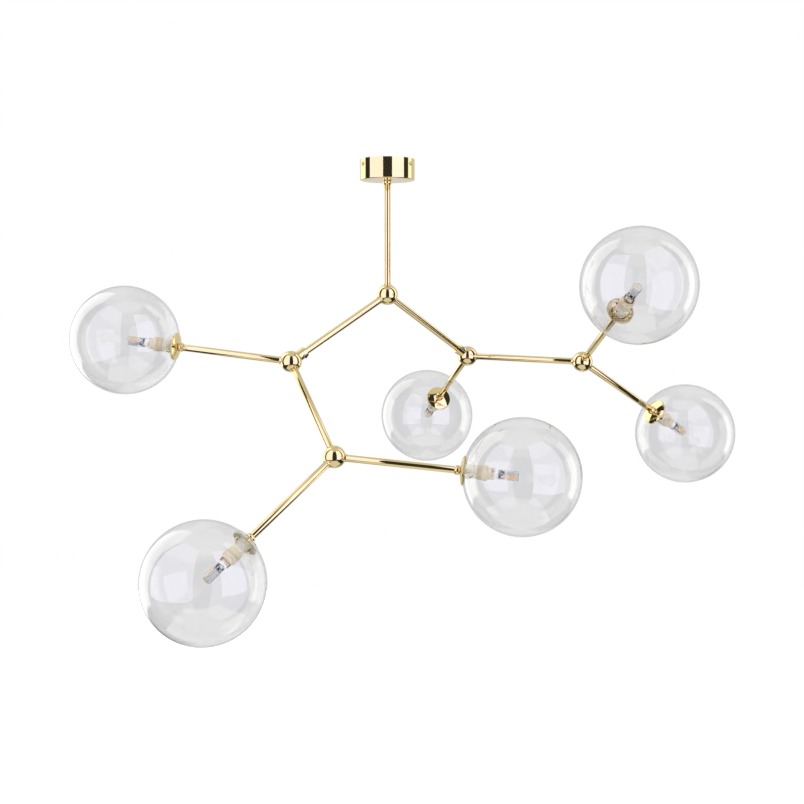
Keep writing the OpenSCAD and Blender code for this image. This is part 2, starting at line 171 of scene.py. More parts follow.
class Shape:
    """Mesh data in millimetres, with a material index for each face."""

    def __init__(self):
        self.points, self.faces, self.kinds = [], [], []

    def add(self, points, faces, kind=0, place=None):
        first = len(self.points)
        self.points += [place @ Vector(p) if place else Vector(p) for p in points]
        self.faces += [[first + i for i in face] for face in faces]
        self.kinds += [kind] * len(faces)
        return self

    def lathe(self, outline, kind=0, segments=64, place=None, closed=True, radius_at=None):
        """Turns an outline about Z. A point on the axis is a pole. radius_at(r, z, angle)
        can change a ring's radius round the axis, for threads and flutes."""
        points, rings = [], []
        for r, z in outline:
            if r < 1e-6:
                rings.append([len(points)])
                points.append((0, 0, z))
                continue
            rings.append(list(range(len(points), len(points) + segments)))
            for k in range(segments):
                a = 2 * math.pi * k / segments
                here = radius_at(r, z, a) if radius_at else r
                points.append((here * math.cos(a), here * math.sin(a), z))
        faces = []
        for low, high in zip(rings, rings[1:] + rings[:1] if closed else rings[1:]):
            if len(low) == 1 and len(high) == 1:
                continue
            for k in range(segments):
                n = (k + 1) % segments
                if len(low) == 1:
                    faces.append([low[0], high[n], high[k]])
                elif len(high) == 1:
                    faces.append([low[k], low[n], high[0]])
                else:
                    faces.append([low[k], low[n], high[n], high[k]])
        return self.add(points, faces, kind, place)

    def block(self, size, at=(0, 0, 0), fillet=0.3, kind=0, place=None):
        """Box with rounded edges."""
        bm = bmesh.new()
        box = Matrix.Translation(at) @ Matrix.Diagonal((*size, 1))
        bmesh.ops.create_cube(bm, size=1, matrix=box)
        bmesh.ops.bevel(bm, geom=bm.edges[:], offset=fillet, segments=2, affect="EDGES")
        bm.verts.ensure_lookup_table()
        points = [v.co.copy() for v in bm.verts]
        faces = [[v.index for v in f.verts] for f in bm.faces]
        bm.free()
        return self.add(points, faces, kind, place)

    def sweep(self, path, across, thick, kind=0, place=None, segments=12):
        """Bar of oval or round section along a path, closed at both ends."""
        path = [Vector(p) for p in path]
        points, faces = [], []
        side = None
        for i, p in enumerate(path):
            along = (path[min(i + 1, len(path) - 1)] - path[max(i - 1, 0)]).normalized()
            if side is None:
                side = along.orthogonal() if abs(along.y) > 0.9 else Vector((0, 1, 0))
            side = (side - side.dot(along) * along).normalized()
            other = along.cross(side)
            for k in range(segments):
                a = 2 * math.pi * k / segments
                points.append(p + side * across / 2 * math.cos(a) + other * thick / 2 * math.sin(a))
        for i in range(len(path) - 1):
            for k in range(segments):
                n = (k + 1) % segments
                a, b = i * segments, (i + 1) * segments
                faces.append([a + k, a + n, b + n, b + k])
        faces.append(list(range(segments)))
        faces.append([(len(path) - 1) * segments + k for k in range(segments)])
        return self.add(points, faces, kind, place)


def linked(name, mesh):
    """Object of a mesh, put into the scene."""
    obj = bpy.data.objects.new(name, mesh)
    bpy.context.scene.collection.objects.link(obj)
    return obj


def piece(name, shape, body, materials, at=None, sharp=32):
    """Makes the object that stands for the CAD node of the same name, in place and on its body.
    Edges sharper than `sharp` degrees stay crisp."""
    mesh = bpy.data.meshes.new(name)
    mesh.from_pydata([p * MM for p in shape.points], [], shape.faces)
    mesh.polygons.foreach_set("material_index", shape.kinds)
    for m in materials:
        mesh.materials.append(m)
    bm = bmesh.new()
    bm.from_mesh(mesh)
    bmesh.ops.recalc_face_normals(bm, faces=bm.faces[:])
    for f in bm.faces:
        f.smooth = True
    for e in bm.edges:
        e.smooth = e.calc_face_angle(0) < math.radians(sharp)
    bm.to_mesh(mesh)
    bm.free()
    obj = linked(name, mesh)
    if at is not None:
        obj.matrix_world = at
    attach(obj, body)
    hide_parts(name)
    return obj


# ---------------------------------------------------------------- shader nodes

def new_tree(name):
    mat = bpy.data.materials.new(name)
    mat.use_nodes = True
    return mat, mat.node_tree, mat.node_tree.nodes["Principled BSDF"]


def put(tree, kind, inputs=(), **settings):
    """Adds a node. inputs are (socket, value or output socket) pairs."""
    made = tree.nodes.new(kind)
    for key, value in settings.items():
        setattr(made, key, value)
    for socket, value in inputs:
        if isinstance(value, bpy.types.NodeSocket):
            tree.links.new(value, made.inputs[socket])
        else:
            made.inputs[socket].default_value = value
    return made


def feed(tree, shader, **sockets):
    """Links or sets the shader's sockets; _ in a name is a space."""
    for name, value in sockets.items():
        socket = shader.inputs[name.replace("_", " ")]
        if isinstance(value, bpy.types.NodeSocket):
            tree.links.new(value, socket)
        else:
            socket.default_value = value


def object_place(tree):
    return put(tree, "ShaderNodeTexCoord").outputs["Object"]


def noise(tree, where, scale, detail=3.0, rough=0.5, warp=0.0):
    return put(tree, "ShaderNodeTexNoise", [("Vector", where), ("Scale", scale),
               ("Detail", detail), ("Roughness", rough), ("Distortion", warp)]).outputs["Fac"]


def stretched(tree, where, scale):
    return put(tree, "ShaderNodeMapping", [("Vector", where), ("Scale", scale)]).outputs["Vector"]


def ramp(tree, fac, stops):
    """Colour ramp through (position, colour) stops."""
    made = put(tree, "ShaderNodeValToRGB", [("Fac", fac)])
    stones = made.color_ramp.elements
    while len(stones) < len(stops):
        stones.new(0.5)
    for stone, (at, colour) in zip(stones, stops):
        stone.position = at
        stone.color = (*colour, 1)
    return made.outputs["Color"]


def remap(tree, value, low, high, start=0.3, end=0.7):
    """low to high while the value goes from start to end, and held there beyond."""
    return put(tree, "ShaderNodeMapRange", [("Value", value), ("From Min", start),
               ("From Max", end), ("To Min", low), ("To Max", high)]).outputs["Result"]


def math_node(tree, operation, a, b=0.0):
    return put(tree, "ShaderNodeMath", [(0, a), (1, b)], operation=operation).outputs[0]


def bump(tree, height, strength, distance):
    return put(tree, "ShaderNodeBump", [("Height", height), ("Strength", strength),
               ("Distance", distance)]).outputs["Normal"]


def blend(tree, fac, a, b):
    """Colour a where fac is 0, b where it is 1."""
    return put(tree, "ShaderNodeMix", [(0, fac), (6, a), (7, b)], data_type="RGBA").outputs[2]


def blend_shaders(tree, fac, a, b):
    return put(tree, "ShaderNodeMixShader", [(0, fac), (1, a), (2, b)]).outputs[0]


# ---------------------------------------------------------------- materials

def metal(name, deep, pale, gloss, hairline=0.03, lines=(1, 1, 1)):
    """Polished metal: slow changes of tone, faint polishing lines and wiped smudges."""
    mat, tree, shader = new_tree(name)
    where = object_place(tree)
    tone = noise(tree, where, scale=22, detail=4, rough=0.55, warp=0.4)
    smudge = noise(tree, where, scale=65, detail=5, rough=0.6, warp=1.2)
    hair = noise(tree, stretched(tree, where, lines), scale=900, detail=2)
    feed(tree, shader, Metallic=1.0, Base_Color=ramp(tree, tone, [(0.3, deep), (0.7, pale)]),
         Roughness=math_node(tree, "ADD", remap(tree, smudge, gloss, gloss + 0.03),
                             remap(tree, hair, 0.0, 0.01)),
         Normal=bump(tree, hair, hairline, distance=0.00001))
    return mat


def clear(name, tint, ior, waves, depth):
    """Clear glass or plastic, with slow waves of its surface and a trace of dust. Its tint
    fades to nothing where it is seen at a slant."""
    mat, tree, shader = new_tree(name)
    where = object_place(tree)
    wave = noise(tree, where, scale=waves, detail=2, rough=0.4, warp=0.3)
    dust = noise(tree, where, scale=160, detail=4, rough=0.6)
    body = ramp(tree, wave, [(0.3, tint), (0.7, [c * 1.01 for c in tint])])
    slant = put(tree, "ShaderNodeLayerWeight", [("Blend", 0.5)]).outputs["Facing"]
    untinted = remap(tree, slant, 0.0, 1.0, start=0.42, end=0.75)
    feed(tree, shader, Transmission_Weight=1.0, IOR=ior, Specular_Tint=(1.0, 1.0, 0.84, 1),
         Base_Color=blend(tree, untinted, body, (1, 1, 1, 1)),
         Roughness=remap(tree, dust, 0.0, 0.01, start=0.62, end=0.8),
         Normal=bump(tree, wave, depth, distance=0.002))
    return mat


def ceramic():
    """Unglazed cream ceramic: fine grain, pores and slow changes of tone."""
    mat, tree, shader = new_tree("CreamCeramic")
    where = object_place(tree)
    cloud = noise(tree, where, scale=90, detail=4, rough=0.6)
    grain = noise(tree, where, scale=1400, rough=0.6)
    pores = put(tree, "ShaderNodeTexVoronoi", [("Vector", where), ("Scale", 700)])
    pits = math_node(tree, "MULTIPLY", pores.outputs["Distance"], 3.0)
    feed(tree, shader,
         Base_Color=ramp(tree, cloud, [(0.25, (0.80, 0.66, 0.45)), (0.5, (0.86, 0.74, 0.54)),
                                       (0.75, (0.91, 0.81, 0.63))]),
         Roughness=remap(tree, grain, 0.38, 0.55),
         Normal=bump(tree, math_node(tree, "MINIMUM", pits, grain), 0.25, distance=0.0001))
    return mat


def moulded(name, deep, pale, gloss, painted_glow=0.0):
    """Moulded plastic with a fine grain. Its glow argument is painted light: the part glows a little of
    itself, though it is no lamp, which brightens it.
    """
    mat, tree, shader = new_tree(name)
    where = object_place(tree)
    cloud = noise(tree, where, scale=120)
    fine = noise(tree, where, scale=1800, detail=2)
    feed(tree, shader, Base_Color=ramp(tree, cloud, [(0.3, deep), (0.7, pale)]),
         Roughness=remap(tree, fine, gloss, gloss + 0.12),
         Normal=bump(tree, fine, 0.1, distance=0.0001),
         # Painted glow: a faint emission in the pale colour brightens the part, though it gives no
         # light of its own.
         Emission_Color=(*pale, 1), Emission_Strength=painted_glow)
    return mat


def board():
    """Lamp board: pale grey-lilac lacquer with fine silvery tracks round the core, and a faint painted
    glow that brightens it behind the glass.
    """
    mat, tree, shader = new_tree("LampBoard")
    where = object_place(tree)
    cloud = noise(tree, where, scale=150)
    tracks = put(tree, "ShaderNodeTexWave", [("Vector", where), ("Scale", 120.0),
                 ("Distortion", 2.0), ("Detail", 1.0)], bands_direction="Z").outputs["Fac"]
    tone = math_node(tree, "ADD", math_node(tree, "MULTIPLY", tracks, 0.3),
                     math_node(tree, "MULTIPLY", cloud, 0.7))
    feed(tree, shader,
         Base_Color=ramp(tree, tone, [(0.3, (0.78, 0.78, 0.83)), (0.7, (0.89, 0.89, 0.93))]),
         Roughness=remap(tree, tracks, 0.25, 0.4),
         # Painted glow: the board glows faintly of itself, which brightens it; it is no lamp.
         Emission_Color=(0.9, 0.9, 1, 1), Emission_Strength=0.08,
         Normal=bump(tree, tracks, 0.1, distance=0.0001))
    return mat


DEEP_BRASS, PALE_BRASS = (0.83, 0.665, 0.325), (0.88, 0.715, 0.365)
BRASS = metal("PolishedBrass", DEEP_BRASS, PALE_BRASS, gloss=0.02)
DRAWN_BRASS = metal("DrawnBrassTube", DEEP_BRASS, PALE_BRASS, gloss=0.02, hairline=0.01,
                    lines=(1, 1, 0.02))
STEEL = metal("BrightSteel", (0.50, 0.50, 0.51), (0.66, 0.66, 0.67), gloss=0.16, hairline=0.05)
GLASS = clear("ClearGlass", (0.885, 0.885, 0.882), ior=1.5, waves=7, depth=0.035)
CAPSULE = clear("ClearCapsule", (0.98, 0.98, 0.98), ior=1.32, waves=60, depth=0.05)
CERAMIC = ceramic()
# Painted glow: the sleeve, the lamp base, the chip frames and the phosphor get a faint glow of their
# own that brightens them behind the glass; none of them is a lit lamp.
SLEEVE = moulded("WhiteSleeve", (0.92, 0.87, 0.76), (0.96, 0.92, 0.84), gloss=0.28, painted_glow=0.06)
NYLON = moulded("WhiteNylon", (0.78, 0.78, 0.74), (0.86, 0.86, 0.82), gloss=0.35)
LAMP_BASE = moulded("LampBase", (0.84, 0.84, 0.85), (0.92, 0.92, 0.93), gloss=0.3, painted_glow=0.12)
BLACK_PART = moulded("BlackComponent", (0.012, 0.012, 0.013), (0.03, 0.03, 0.03), gloss=0.3)
BROWN_PART = moulded("ContactRecess", (0.30, 0.13, 0.03), (0.48, 0.24, 0.07), gloss=0.4)
PHOSPHOR = moulded("Phosphor", (1.0, 0.50, 0.05), (1.0, 0.62, 0.12), gloss=0.35, painted_glow=0.6)
CHIP_FRAME = moulded("ChipFrame", (0.82, 0.80, 0.76), (0.90, 0.88, 0.85), gloss=0.3, painted_glow=0.15)
BOARD = board()

FINISHES = {"ceiling_bracket": STEEL, "stem_nut": STEEL, "earth_screw": STEEL,
            "terminal_block": NYLON}
for node_name, node in frame["nodes"].items():
    for k in range(len(node.data.materials)):
        node.data.materials[k] = FINISHES.get(node_name, BRASS)


# ---------------------------------------------------------------- tubes

LIP_FACE = 20                       # hub centre to the face that a tube butts on
ARM_LEN = 312                       # hub centre to globe centre
LINK_LEN = 231                      # hub centre to hub centre
DROP = 208                          # centre hub to the cap's underside
COLLAR_BEAD = 7.5                   # the cap's underside to the stem tube's end


def tube_piece(name, start, towards, length, last, body):
    """Chamfered tube from the hub at `start`, its end `last` millimetres short of `length`."""
    top = length - last
    outline = rounded([(BORE_R, LIP_FACE, 0), (TUBE_R, LIP_FACE, 0.35), (TUBE_R, top, 0.35),
                       (BORE_R, top, 0)], steps=2)
    piece(name, Shape().lathe(outline), body, [DRAWN_BRASS],
          facing(start, towards - start))


for i in GLOBES:
    tube_piece(f"arm_tube_{i}", GLOBE_HUBS[i], GLOBES[i].translation, ARM_LEN, ARM_FACE, BODY[i])
tube_piece("stem_tube", CENTRE_HUB, Vector(), DROP, COLLAR_BEAD, "frame")
tube_piece("left_low_tube", LEFT_HUB, LOW_LEFT_HUB, LINK_LEN, LIP_FACE, "left_branch")
tube_piece("right_low_tube", RIGHT_HUB, LOW_RIGHT_HUB, LINK_LEN, LIP_FACE, "right_branch")


# ---------------------------------------------------------------- screws

SLOT_WIDTH = 0.9
SCREW_CHAMFER = 0.3


def plain_object(name, shape):
    """Object with its faces turned outwards, for a boolean."""
    mesh = bpy.data.meshes.new(name)
    mesh.from_pydata(shape.points, [], shape.faces)
    bm = bmesh.new()
    bm.from_mesh(mesh)
    bmesh.ops.recalc_face_normals(bm, faces=bm.faces[:])
    bm.to_mesh(mesh)
    bm.free()
    return linked(name, mesh)


def slotted(shape, place, head_r, head_h, shank, crown):
    """Screw: shank on -Z, crowned head on +Z with a real slot, cut by a boolean."""
    shank_r = 2
    start = math.degrees(math.acos((head_r - 0.35) / crown))
    edge_z = head_h - crown + crown * math.sin(math.radians(start))
    outline = [(0, -shank), (shank_r - SCREW_CHAMFER, -shank), (shank_r, -shank + SCREW_CHAMFER),
               (shank_r, 0), (head_r - SCREW_CHAMFER, 0), (head_r, SCREW_CHAMFER),
               (head_r, edge_z - SCREW_CHAMFER)]
    outline += arc(0, head_h - crown, crown, start, 90, 8)[:-1] + [(0, head_h)]
    screw = plain_object("screw", Shape().lathe(outline, segments=48, closed=False))
    bar = Shape().block((head_r * 3, SLOT_WIDTH, head_h), (0, 0, head_h), fillet=0.05)
    cutter = plain_object("bar", bar)
    cut = screw.modifiers.new("slot", "BOOLEAN")
    cut.object, cut.operation, cut.solver = cutter, "DIFFERENCE", "EXACT"
    bpy.context.view_layer.update()
    done = screw.evaluated_get(bpy.context.evaluated_depsgraph_get()).to_mesh()
    points = [v.co.copy() for v in done.vertices]
    shape.add(points, [list(p.vertices) for p in done.polygons], 0, place)
    for o in (screw, cutter):
        bpy.data.objects.remove(o)
    return shape


CAP_R = 50
CAP_GAP = 0.05                      # between the cap's side and a screw's head
CAP_SCREW_TURN = -151               # heading of the first of three screws, in degrees
CAP_SCREW_Z = -10
CAP_SCREW_HEAD_R = 3.75
cap_screws = Shape()
for k in range(3):
    a = math.radians(CAP_SCREW_TURN + 120 * k)
    out = Vector((math.cos(a), math.sin(a), 0))
    seat = (out * (CAP_R + CAP_GAP) + UP * CAP_SCREW_Z) * MM
    slotted(cap_screws, scaled(facing(seat, out)), CAP_SCREW_HEAD_R, head_h=2.2, shank=5,
            crown=1.5 * CAP_SCREW_HEAD_R)
piece("cap_screws", cap_screws, "frame", [BRASS])

CLAMP_SEAT = 9.8                    # link axis to the underside of a clamp screw's head
CLAMP_HEAD_R = 3.5
for side in SIDES:
    joint = joints[f"{side}_clamp_turn"]
    out = Vector(joint["axis"])
    at = facing(Vector(joint["pos_m"]) + out * CLAMP_SEAT * MM, out)
    screw = slotted(Shape(), Matrix(), CLAMP_HEAD_R, head_h=3.4, shank=5.2, crown=8 * CLAMP_HEAD_R)
    piece(f"{side}_clamp_screw", screw, f"{side}_clamp", [STEEL], at)


# ---------------------------------------------------------------- glass

def globe_shape(place):
    """Blown shell with a fire-polished lip round the hole, which faces +Z."""
    inner = GLOBE_R - GLASS_WALL
    lip_r = GLASS_WALL / 2
    lip = math.degrees(math.acos((HOLE_R + lip_r) / (GLOBE_R - lip_r)))
    lip_centre = arc(0, 0, GLOBE_R - lip_r, lip, lip, 1)[0]
    outline = arc(0, 0, GLOBE_R, -90, lip, 96)
    outline += arc(*lip_centre, lip_r, lip, lip + 180, 8)[1:-1]
    outline += arc(0, 0, inner, lip, -90, 96)
    outline[0], outline[-1] = (0, -GLOBE_R), (0, -inner)
    return Shape().lathe(outline, segments=128, place=place, closed=False)


for i in GLOBES:
    piece(f"globe_{i}", globe_shape(scaled(GLOBES[i])), BODY[i], [GLASS])


# ---------------------------------------------------------------- lampholders

THREAD_PITCH = 2.2
SOCKET_R = 8.5                      # bore of the sleeve below its seat
SLEEVE_R = 11.25
SLEEVE_LOW = 30
SLEEVE_TOP = CUP_RIM + 3.4 - HOLDER_END
SLEEVE_SEAT = SLEEVE_TOP - 12
RING_R, RING_BORE_R = 13, 11.05
RING_LOW, RING_H = 13, 8
CLIP_Z = CUP_RIM - 7.8 - HOLDER_END  # middle of a clip's bow
CLIP_BOW = 8                        # radius of the bow
CLIP_OUT = 10.4                     # sleeve's axis to the bow's centre
CLIP_WIDTH, CLIP_THICK = 4.4, 0.8


def ribs(depth, low, high, within=0.0):
    """Radius change of a screw thread between two heights, faded at both ends. It leaves the
    surfaces inside the radius `within` alone."""
    def radius_at(r, z, angle):
        if r < within or not low < z < high:
            return r
        turn = (z / THREAD_PITCH - angle / (2 * math.pi)) % 1
        fade = min(1, (z - low) / THREAD_PITCH, (high - z) / THREAD_PITCH)
        return r - depth * fade * (0.5 - 0.5 * math.cos(2 * math.pi * turn)) ** 1.5
    return radius_at


def add_sleeve(shape, place):
    """Threaded tube that the lampholder screws on, with the arm's thread at its top."""
    wall = rounded([(SLEEVE_R, SLEEVE_LOW, 0.3), (SLEEVE_R, SLEEVE_TOP, 0.4),
                    (THREAD_R, SLEEVE_TOP, 0), (THREAD_R, SLEEVE_SEAT, 0),
                    (SOCKET_R, SLEEVE_SEAT, 0), (SOCKET_R, SLEEVE_LOW, 0)], steps=2)
    after_low_fillet = 3
    wall[after_low_fillet:after_low_fillet] = column(SLEEVE_R, SLEEVE_LOW + 0.6,
                                                     SLEEVE_TOP - 0.8, 0.3)
    shape.lathe(wall, place=place,
                radius_at=ribs(1.0, SLEEVE_LOW + 0.8, SLEEVE_TOP - 1.6, within=SOCKET_R))


def add_ring_nut(shape, place):
    """Ring nut with twenty grip flutes above its rounded lower edge."""
    flutes, flute_depth = 20, 0.45

    def radius_at(r, z, angle):
        if r < RING_R - 0.8 or z < RING_LOW + 1.6:
            return r
        return r - flute_depth * max(0, math.cos(flutes * angle)) ** 6

    top = RING_LOW + RING_H
    nut = rounded([(RING_BORE_R, RING_LOW, 0.2), (RING_R, RING_LOW, 1.1), (RING_R, top, 0.5),
                   (RING_BORE_R, top, 0.2)], steps=4)
    shape.lathe(nut, segments=120, place=place, radius_at=radius_at)


def add_clip(shape, place):
    """Spring clip: a washer on the sleeve and three bowed legs that hold the glass's lip."""
    low = CLIP_Z + CLIP_BOW - 0.8
    bore_r, rim_r, top = 11.35, 13.15, low + 1.2
    shape.lathe(rounded([(bore_r, low, 0.15), (rim_r, low, 0.4), (rim_r, top, 0.4),
                         (bore_r, top, 0.15)], steps=2), place=place)
    leg = [Vector((r, 0, z)) for r, z in arc(CLIP_OUT, CLIP_Z, CLIP_BOW, 74, -72, 24)]
    foot = Vector((-0.9, 0, -1.2))
    leg.append(leg[-1] + foot)
    for k in range(3):
        turn = Matrix.Rotation(math.radians(120 * k), 4, "Z")
        shape.sweep(leg, CLIP_WIDTH, CLIP_THICK, place=place @ turn)


for side, members in SIDES.items():
    sleeves, rings, clips = Shape(), Shape(), Shape()
    for i in members:
        place = scaled(fitting(i))
        add_sleeve(sleeves, place)
        add_ring_nut(rings, place)
        add_clip(clips, place)
    body = f"{side}_branch"
    piece(f"{side}_holder_sleeves", sleeves, body, [SLEEVE])
    piece(f"{side}_ring_nuts", rings, body, [CERAMIC], sharp=50)
    piece(f"{side}_globe_clips", clips, body, [BRASS])


BARREL_R = 11
SKIRT_R, SKIRT_LOW, SKIRT_TOP = 12.15, 21, 30
NOTCH_HALF, NOTCH_DEPTH, NOTCH_TOP = 3.1, 1.15, 12


def holder_shape(block_turn):
    """Ceramic holder: skirt with one soft turn of thread round its waist, barrel, tapered nose
    with a contact notch on two sides, and the contact block in its mouth, turned to suit the
    lamp."""
    wall = [(SOCKET_R, SKIRT_TOP), (SKIRT_R - 0.3, SKIRT_TOP)]
    wall += wall_down(SKIRT_R, SKIRT_TOP - 0.3, SKIRT_LOW + 0.3)
    wall += [(SKIRT_R - 0.3, SKIRT_LOW), (BARREL_R, SKIRT_LOW)]
    wall += wall_down(BARREL_R - 0.05, SKIRT_LOW - 0.2, RING_LOW + 0.2)
    wall += wall_down(BARREL_R - 0.3, RING_LOW - 0.2, 8.8)
    wall += rounded([(10.3, 8.2, 0.4), (9.9, 7.6, 0.3), (9.25, 0, 0.5)])
    wall += rounded([(7.6, 0, 0.4), (7.6, 6, 0.3), (8.0, 18, 0)])
    thread = ribs(0.7, SKIRT_LOW + 0.3, SKIRT_TOP - 0.1, within=11.5)

    def radius_at(r, z, angle):
        if z < NOTCH_TOP and r > 9 and abs(math.sin(angle)) * r < NOTCH_HALF:
            return r - NOTCH_DEPTH
        return thread(r, z, angle)

    brown = 1
    shape = Shape().lathe(wall, segments=120, radius_at=radius_at)
    turn = Matrix.Rotation(math.radians(block_turn), 4, "Z")
    shape.block((14, 8.5, 13.5), (0, 0, 9.25), fillet=0.5, place=turn)
    pin_bush = rounded([(1.0, 2.2, 0.1), (1.7, 2.2, 0.2), (1.7, 4, 0), (1.0, 4, 0)], steps=2)
    for s in (-1, 1):
        shape.block((0.9, 5.2, 10.6), (s * 8.7, 0, 6.2), fillet=0.2, kind=brown)
        shape.lathe(pin_bush, brown, 24, turn @ Matrix.Translation((s * PIN_SPREAD, 0, 0)))
    return shape


# ---------------------------------------------------------------- lamps

LAMP_TIP = -38
CAPSULE_R, CAPSULE_WALL = 8.25, 0.6
CAPSULE_TOP = -4.4
CORE_HALF = 6
CORE_LOW, CORE_HIGH = -35.6, -16.4
CHIP_PITCH = 4.8
# Black parts on the driver: (size, place), then (x, y, low end, high end) of its bent leads
DRIVER_PARTS = [((4.8, 1.8, 4.4), (0.5, 5.2, -12.6)), ((1.8, 4.4, 3.4), (5.2, -0.9, -7.4)),
                ((3.6, 1.8, 5.6), (-0.8, -5.2, -8.6)), ((1.8, 3.4, 4.8), (-5.2, 1.0, -12.8))]
DRIVER_LEADS = [(4.6, 4.2, -15.5, -5.5), (-4.4, 4.4, -10.5, -5.6), (4.3, -4.7, -15.8, -11.5),
                (-4.7, -4.4, -15.6, -6.2), (5.2, 1.8, -11.6, -9.2)]
LAMP_MATERIALS = [CAPSULE, LAMP_BASE, BOARD, CHIP_FRAME, PHOSPHOR, STEEL, BLACK_PART]


def add_chips(shape, chip_frame, phosphor):
    """Two rows of four chips on each of two sides of the core, and one at its tip. Each is a
    pale frame with a proud face of phosphor."""
    chips = [((s * (CORE_HALF + 0.1), t * 2.1, CORE_LOW + 2.6 + CHIP_PITCH * k), (0.6, 2.8, 2.9))
             for s in (-1, 1) for t in (-1, 1) for k in range(4)]
    chips.append(((0, 0, CORE_LOW - 0.8), (3.4, 3.0, 0.6)))
    for at, size in chips:
        proud = (math.copysign(0.2, at[0]), 0, 0) if at[0] else (0, 0, -0.2)
        face = [c - 0.3 if c > 1 else c - 0.1 for c in size]
        shape.block(size, at, fillet=0.18, kind=chip_frame)
        shape.block(face, Vector(at) + Vector(proud), fillet=0.12, kind=phosphor)


def add_driver(shape, white, black):
    """White driver block between core and base, with black parts, leads and a wavy wire."""
    shape.block((8.4, 8.4, 11.2), (0, 0, -10.4), fillet=0.8, kind=white)
    for size, at in DRIVER_PARTS:
        shape.block(size, at, kind=black)
    for x, y, low, high in DRIVER_LEADS:
        bend = (x * 1.1, y * 0.8, (low + high) / 2)
        shape.sweep([(x, y, low), bend, (x * 0.95, y, high)], 1.0, 1.0, black)
    wire_r, wire_z, swing, waves = 6.5, -8.2, 2.7, 3
    turns = [math.radians(9 * k) for k in range(38)]
    shape.sweep([(wire_r * math.cos(a), wire_r * math.sin(a), wire_z + swing * math.sin(waves * a))
                 for a in turns], 1.1, 1.1, black)


def lamp_shape():
    """Clear thin-walled capsule over a square core: boards with chips, driver, base and pins."""
    capsule, white, lacquer, chip_frame, phosphor, steel, black = range(len(LAMP_MATERIALS))
    inner_r, inner_tip = CAPSULE_R - CAPSULE_WALL, LAMP_TIP + 0.7
    shape = Shape()
    shape.lathe(rounded([(0, LAMP_TIP, 0), (CAPSULE_R, LAMP_TIP, 2.4), (CAPSULE_R, CAPSULE_TOP, 0.3),
                         (inner_r, CAPSULE_TOP, 0), (inner_r, inner_tip, 1.9), (0, inner_tip, 0)], 8),
                capsule, segments=96, closed=False)
    plug_low, plug_top = CAPSULE_TOP - 0.3, 0.4
    shape.lathe(rounded([(0, plug_low, 0), (7.55, plug_low, 0.3), (7.55, -2.4, 0.2),
                         (7.1, -2.0, 0.2), (7.1, plug_top, 0.5), (0, plug_top, 0)]),
                white, closed=False)
    shape.block((12, 7.3, 2.6), (0, 0, 1.2), fillet=0.5, kind=white)
    for s in (-1, 1):
        pin = [(s * PIN_SPREAD, 0, 0), (s * PIN_SPREAD, 0, 13.6)]
        shape.sweep(pin, 2 * PIN_R, 2 * PIN_R, steel)
    core = (2 * CORE_HALF, 2 * CORE_HALF, CORE_HIGH - CORE_LOW)
    shape.block(core, (0, 0, (CORE_LOW + CORE_HIGH) / 2), fillet=2.4, kind=lacquer)
    shape.block((10.4, 10.4, 0.7), (0, 0, CORE_LOW - 0.3), kind=chip_frame)
    add_chips(shape, chip_frame, phosphor)
    add_driver(shape, white, black)
    return shape


# Turns of each lampholder and of its lamp about their axis, in degrees
ROLLS = {1: (176, 52), 2: (-14, -14), 3: (7, -111), 4: (51, 141), 5: (130, 130), 6: (-21, -106)}
for i, (holder_roll, lamp_roll) in ROLLS.items():
    piece(f"lampholder_{i}", holder_shape(lamp_roll - holder_roll), BODY[i],
          [CERAMIC, BROWN_PART], fitting(i, holder_roll))
    piece(f"lamp_{i}", lamp_shape(), BODY[i], LAMP_MATERIALS, fitting(i, lamp_roll))


# ---------------------------------------------------------------- studio

# Brightness of what mirrored surfaces see, at headings in degrees from straight in front
# towards the right: the walls round the object and the ground under it
WALLS = [(-180, 0.72), (-150, 0.72), (-148, 1.6), (-107, 1.6), (-103, 0.03), (98, 0.04),
         (102, 1.6), (118, 1.6), (125, 0.72), (180, 0.72)]
GROUND = [(-180, 0.75), (-166, 0.75), (-156, 0.33), (-130, 0.33), (-124, 0.03), (124, 0.03),
          (130, 0.33), (150, 0.33), (160, 0.75), (180, 0.75)]
CEILING = 0.72
BRIGHTEST = 1.6
WALLS_FROM, WALLS_TO = -24, 60      # heights of the walls' edges above the horizon, in degrees


def by_heading(tree, turn, table):
    """Grey by heading, as a share of BRIGHTEST. turn goes from 0 to 1 round the object."""
    return ramp(tree, turn, [(a / 360 + 0.5, (v / BRIGHTEST,) * 3) for a, v in table])


def mirrored_only(tree):
    """1 for rays that come off a mirrored surface and have met no matt one, otherwise 0."""
    rays = put(tree, "ShaderNodeLightPath").outputs
    return math_node(tree, "MULTIPLY", math_node(tree, "LESS_THAN", rays["Diffuse Depth"], 0.5),
                     math_node(tree, "GREATER_THAN", rays["Glossy Depth"], 0.5))


def seen_directly(tree, mirrored):
    """1 for rays from the eye that have only passed through clear glass, otherwise 0."""
    rays = put(tree, "ShaderNodeLightPath").outputs
    no_matt = math_node(tree, "LESS_THAN", rays["Diffuse Depth"], 0.5)
    through = math_node(tree, "MULTIPLY", rays["Is Transmission Ray"],
                        math_node(tree, "SUBTRACT", no_matt, mirrored))
    return math_node(tree, "MAXIMUM", rays["Is Camera Ray"], through)


